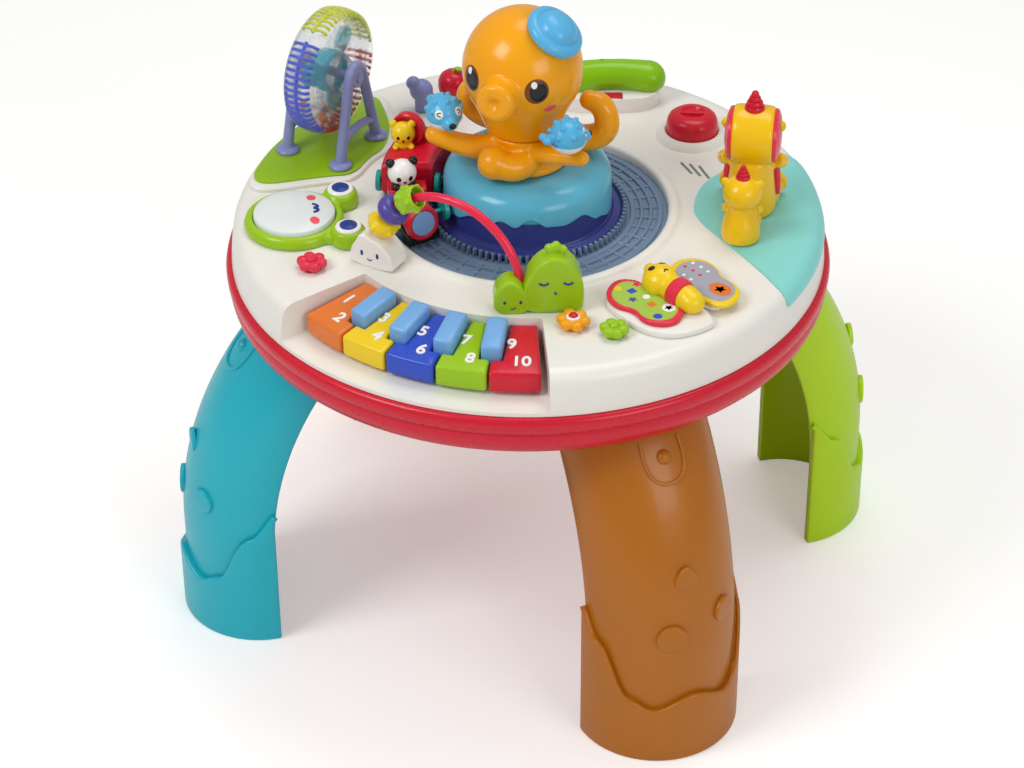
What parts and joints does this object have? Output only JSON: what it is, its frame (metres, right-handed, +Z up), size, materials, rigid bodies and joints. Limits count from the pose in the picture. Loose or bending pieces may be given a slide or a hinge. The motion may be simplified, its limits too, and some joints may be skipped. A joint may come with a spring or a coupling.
{
  "type": "musical activity table",
  "caption": "Round toddler activity table on four curved legs, with turning sea-animal centrepiece, circling train, drum wheel, bead arch, piano keys and press buttons.",
  "frame": {"origin": "centre of the table on the floor the legs stand on", "axes": "+Z up, -Y towards the piano keys, +X to the right of someone facing the keys from -Y"},
  "size_m": [0.422, 0.418, 0.4529],
  "materials": {
    "red": "gloss",
    "ivory": "gloss",
    "leaf_green": "gloss",
    "leaf_teal": "gloss",
    "slate": "gloss",
    "navy": "gloss",
    "sky": "gloss",
    "lavender": "gloss",
    "lime": "gloss",
    "rod_red": "gloss",
    "yellow": "gloss",
    "amber": "gloss",
    "teal": "gloss",
    "brown": "gloss",
    "orange": "gloss",
    "purple": "gloss",
    "blue": "gloss",
    "black": "gloss",
    "board": "gloss",
    "cap": "gloss",
    "fish": "gloss",
    "wheel": "gloss",
    "panda": "gloss",
    "lion": "gloss",
    "leg_green": "gloss",
    "leg_rear": "gloss",
    "clear": "clear gloss"
  },
  "bodies": {
    "table": {"tray": "red", "panel": "ivory", "leaf_green": "leaf_green", "leaf_teal": "leaf_teal", "track_ring": "slate", "island_base": "navy", "wave_dome": "sky", "drum_stands": "lavender", "frog_body": "lime", "cloud_post": "ivory", "bush_post": "lime", "arch_rod": "rod_red", "book_base": "ivory", "bear_figure": "yellow", "parent_animal": "amber", "baby_animal": "amber", "sound_unit": "board", "battery_door": "red", "leg_teal": "teal", "leg_brown": "brown", "leg_green": "leg_green", "leg_rear": "leg_rear"},
    "octopus": {"octopus_body": "amber", "octopus_head": "amber", "octopus_cap": "cap", "fish_left": "fish", "fish_right": "fish"},
    "drum": {"drum_shell": "clear", "comb_bands": "blue", "paddles": "teal"},
    "train": {"train_base": "black", "train_cars": "red", "panda_figure": "panda", "lion_figure": "lion"},
    "wheel_set_front": {"wheel_set_front": "wheel"},
    "wheel_set_middle": {"wheel_set_middle": "wheel"},
    "wheel_set_rear": {"wheel_set_rear": "wheel"},
    "pinion": {"pinion": "black"},
    "key_1": {"key_1": "orange"},
    "key_2": {"key_2": "yellow"},
    "key_3": {"key_3": "blue"},
    "key_4": {"key_4": "lime"},
    "key_5": {"key_5": "red"},
    "sharp_1": {"sharp_1": "sky"},
    "sharp_2": {"sharp_2": "sky"},
    "sharp_3": {"sharp_3": "sky"},
    "sharp_4": {"sharp_4": "sky"},
    "frog_pad": {"frog_pad": "lime"},
    "flower_red": {"flower_red": "red"},
    "flower_orange": {"flower_orange": "orange"},
    "flower_green": {"flower_green": "lime"},
    "book_wing": {"book_wing": "yellow"},
    "handset": {"handset": "leg_green"},
    "knob": {"knob": "red"},
    "grape_knob": {"grape_knob": "purple"},
    "apple_knob": {"apple_knob": "red"},
    "phone_key": {"phone_key": "red"},
    "bead_green": {"bead_green": "lime"},
    "bead_purple": {"bead_purple": "purple"},
    "bead_yellow": {"bead_yellow": "yellow"}
  },
  "joints": [
    {"name": "octopus_turn", "type": "hinge", "parent": "table", "child": "octopus", "pos_m": [0, 0, 0.335], "axis": [0, 0, 1], "continuous": true},
    {"name": "drum_turn", "type": "hinge", "parent": "table", "child": "drum", "pos_m": [-0.15837, 0.01413, 0.359], "axis": [-0.996, 0.0889, 0], "continuous": true},
    {"name": "train_orbit", "type": "hinge", "parent": "table", "child": "train", "pos_m": [0, 0, 0.3], "axis": [0, 0, 1], "continuous": true},
    {"name": "wheels_front_roll", "type": "hinge", "parent": "train", "child": "wheel_set_front", "pos_m": [-0.05412, -0.06226, 0.31], "axis": [-0.6561, -0.7547, 0], "continuous": true},
    {"name": "wheels_middle_roll", "type": "hinge", "parent": "train", "child": "wheel_set_middle", "pos_m": [-0.07846, -0.02549, 0.31], "axis": [-0.9511, -0.309, 0], "continuous": true},
    {"name": "wheels_rear_roll", "type": "hinge", "parent": "train", "child": "wheel_set_rear", "pos_m": [-0.08005, 0.01996, 0.31], "axis": [-0.9703, 0.2419, 0], "continuous": true},
    {"name": "pinion_spin", "type": "hinge", "parent": "train", "child": "pinion", "pos_m": [-0.06373, -0.03982, 0.296], "axis": [0, 0, 1], "continuous": true},
    {"name": "key_1_press", "type": "hinge", "parent": "table", "child": "key_1", "pos_m": [-0.0508, -0.12702, 0.2685], "axis": [0.9285, -0.3714, 0], "range_deg": [0, 2], "stiffness_Nm_per_rad": 0.3, "springref_deg": -6.88},
    {"name": "key_2_press", "type": "hinge", "parent": "table", "child": "key_2", "pos_m": [-0.02587, -0.13433, 0.2685], "axis": [0.982, -0.1891, 0], "range_deg": [0, 2], "stiffness_Nm_per_rad": 0.3, "springref_deg": -6.88},
    {"name": "key_3_press", "type": "hinge", "parent": "table", "child": "key_3", "pos_m": [0, -0.1368, 0.2685], "axis": [1, 0, 0], "range_deg": [0, 2], "stiffness_Nm_per_rad": 0.3, "springref_deg": -6.88},
    {"name": "key_4_press", "type": "hinge", "parent": "table", "child": "key_4", "pos_m": [0.02587, -0.13433, 0.2685], "axis": [0.982, 0.1891, 0], "range_deg": [0, 2], "stiffness_Nm_per_rad": 0.3, "springref_deg": -6.88},
    {"name": "key_5_press", "type": "hinge", "parent": "table", "child": "key_5", "pos_m": [0.0508, -0.12702, 0.2685], "axis": [0.9285, 0.3714, 0], "range_deg": [0, 2], "stiffness_Nm_per_rad": 0.3, "springref_deg": -6.88},
    {"name": "sharp_1_press", "type": "hinge", "parent": "table", "child": "sharp_1", "pos_m": [-0.03918, -0.13357, 0.2685], "axis": [0.9596, -0.2815, 0], "range_deg": [0, 2], "stiffness_Nm_per_rad": 0.2, "springref_deg": -6.88},
    {"name": "sharp_2_press", "type": "hinge", "parent": "table", "child": "sharp_2", "pos_m": [-0.01322, -0.13857, 0.2685], "axis": [0.9955, -0.095, 0], "range_deg": [0, 2], "stiffness_Nm_per_rad": 0.2, "springref_deg": -6.88},
    {"name": "sharp_3_press", "type": "hinge", "parent": "table", "child": "sharp_3", "pos_m": [0.01322, -0.13857, 0.2685], "axis": [0.9955, 0.095, 0], "range_deg": [0, 2], "stiffness_Nm_per_rad": 0.2, "springref_deg": -6.88},
    {"name": "sharp_4_press", "type": "hinge", "parent": "table", "child": "sharp_4", "pos_m": [0.03918, -0.13357, 0.2685], "axis": [0.9596, 0.2815, 0], "range_deg": [0, 2], "stiffness_Nm_per_rad": 0.2, "springref_deg": -6.88},
    {"name": "frog_press", "type": "slide", "parent": "table", "child": "frog_pad", "axis": [0, 0, -1], "range_m": [0, 0.002], "stiffness_N_per_m": 250, "springref_m": -0.003},
    {"name": "flower_red_press", "type": "slide", "parent": "table", "child": "flower_red", "axis": [0, 0, -1], "range_m": [0, 0.002], "stiffness_N_per_m": 120, "springref_m": -0.003},
    {"name": "flower_orange_press", "type": "slide", "parent": "table", "child": "flower_orange", "axis": [0, 0, -1], "range_m": [0, 0.002], "stiffness_N_per_m": 120, "springref_m": -0.003},
    {"name": "flower_green_press", "type": "slide", "parent": "table", "child": "flower_green", "axis": [0, 0, -1], "range_m": [0, 0.002], "stiffness_N_per_m": 120, "springref_m": -0.003},
    {"name": "page_flip", "type": "hinge", "parent": "table", "child": "book_wing", "pos_m": [0.14283, -0.0611, 0.3023], "axis": [0.891, -0.454, 0], "range_deg": [0, 88]},
    {"name": "handset_lift", "type": "slide", "parent": "table", "child": "handset", "axis": [0, 0, 1], "range_m": [0, 0.08]},
    {"name": "knob_turn", "type": "hinge", "parent": "table", "child": "knob", "pos_m": [0.06693, 0.13602, 0.295], "axis": [0, 0, 1], "continuous": true},
    {"name": "grape_turn", "type": "hinge", "parent": "table", "child": "grape_knob", "pos_m": [-0.12415, 0.08856, 0.295], "axis": [0, 0, 1], "continuous": true},
    {"name": "apple_turn", "type": "hinge", "parent": "table", "child": "apple_knob", "pos_m": [-0.1075, 0.10675, 0.295], "axis": [0, 0, 1], "continuous": true},
    {"name": "phone_key_press", "type": "slide", "parent": "table", "child": "phone_key", "axis": [0, 0, -1], "range_m": [0, 0.0018], "stiffness_N_per_m": 100, "springref_m": -0.003},
    {"name": "bead_green_slide", "type": "hinge", "parent": "table", "child": "bead_green", "pos_m": [-0.008, -0.1076, 0.306], "axis": [0.0819, 0.9966, 0], "range_deg": [0, 72]},
    {"name": "bead_purple_slide", "type": "hinge", "parent": "table", "child": "bead_purple", "pos_m": [-0.008, -0.1076, 0.306], "axis": [0.0819, 0.9966, 0], "range_deg": [-0.5, 48.5]},
    {"name": "bead_yellow_slide", "type": "hinge", "parent": "table", "child": "bead_yellow", "pos_m": [-0.008, -0.1076, 0.306], "axis": [0.0819, 0.9966, 0], "range_deg": [-0.5, 24.5]}
  ],
  "couplings": [
    {"joint": "pinion_spin", "follows": "train_orbit", "ratio": 9},
    {"joint": "bead_purple_slide", "follows": "bead_green_slide", "ratio": 0.66667},
    {"joint": "bead_yellow_slide", "follows": "bead_green_slide", "ratio": 0.33333}
  ]
}
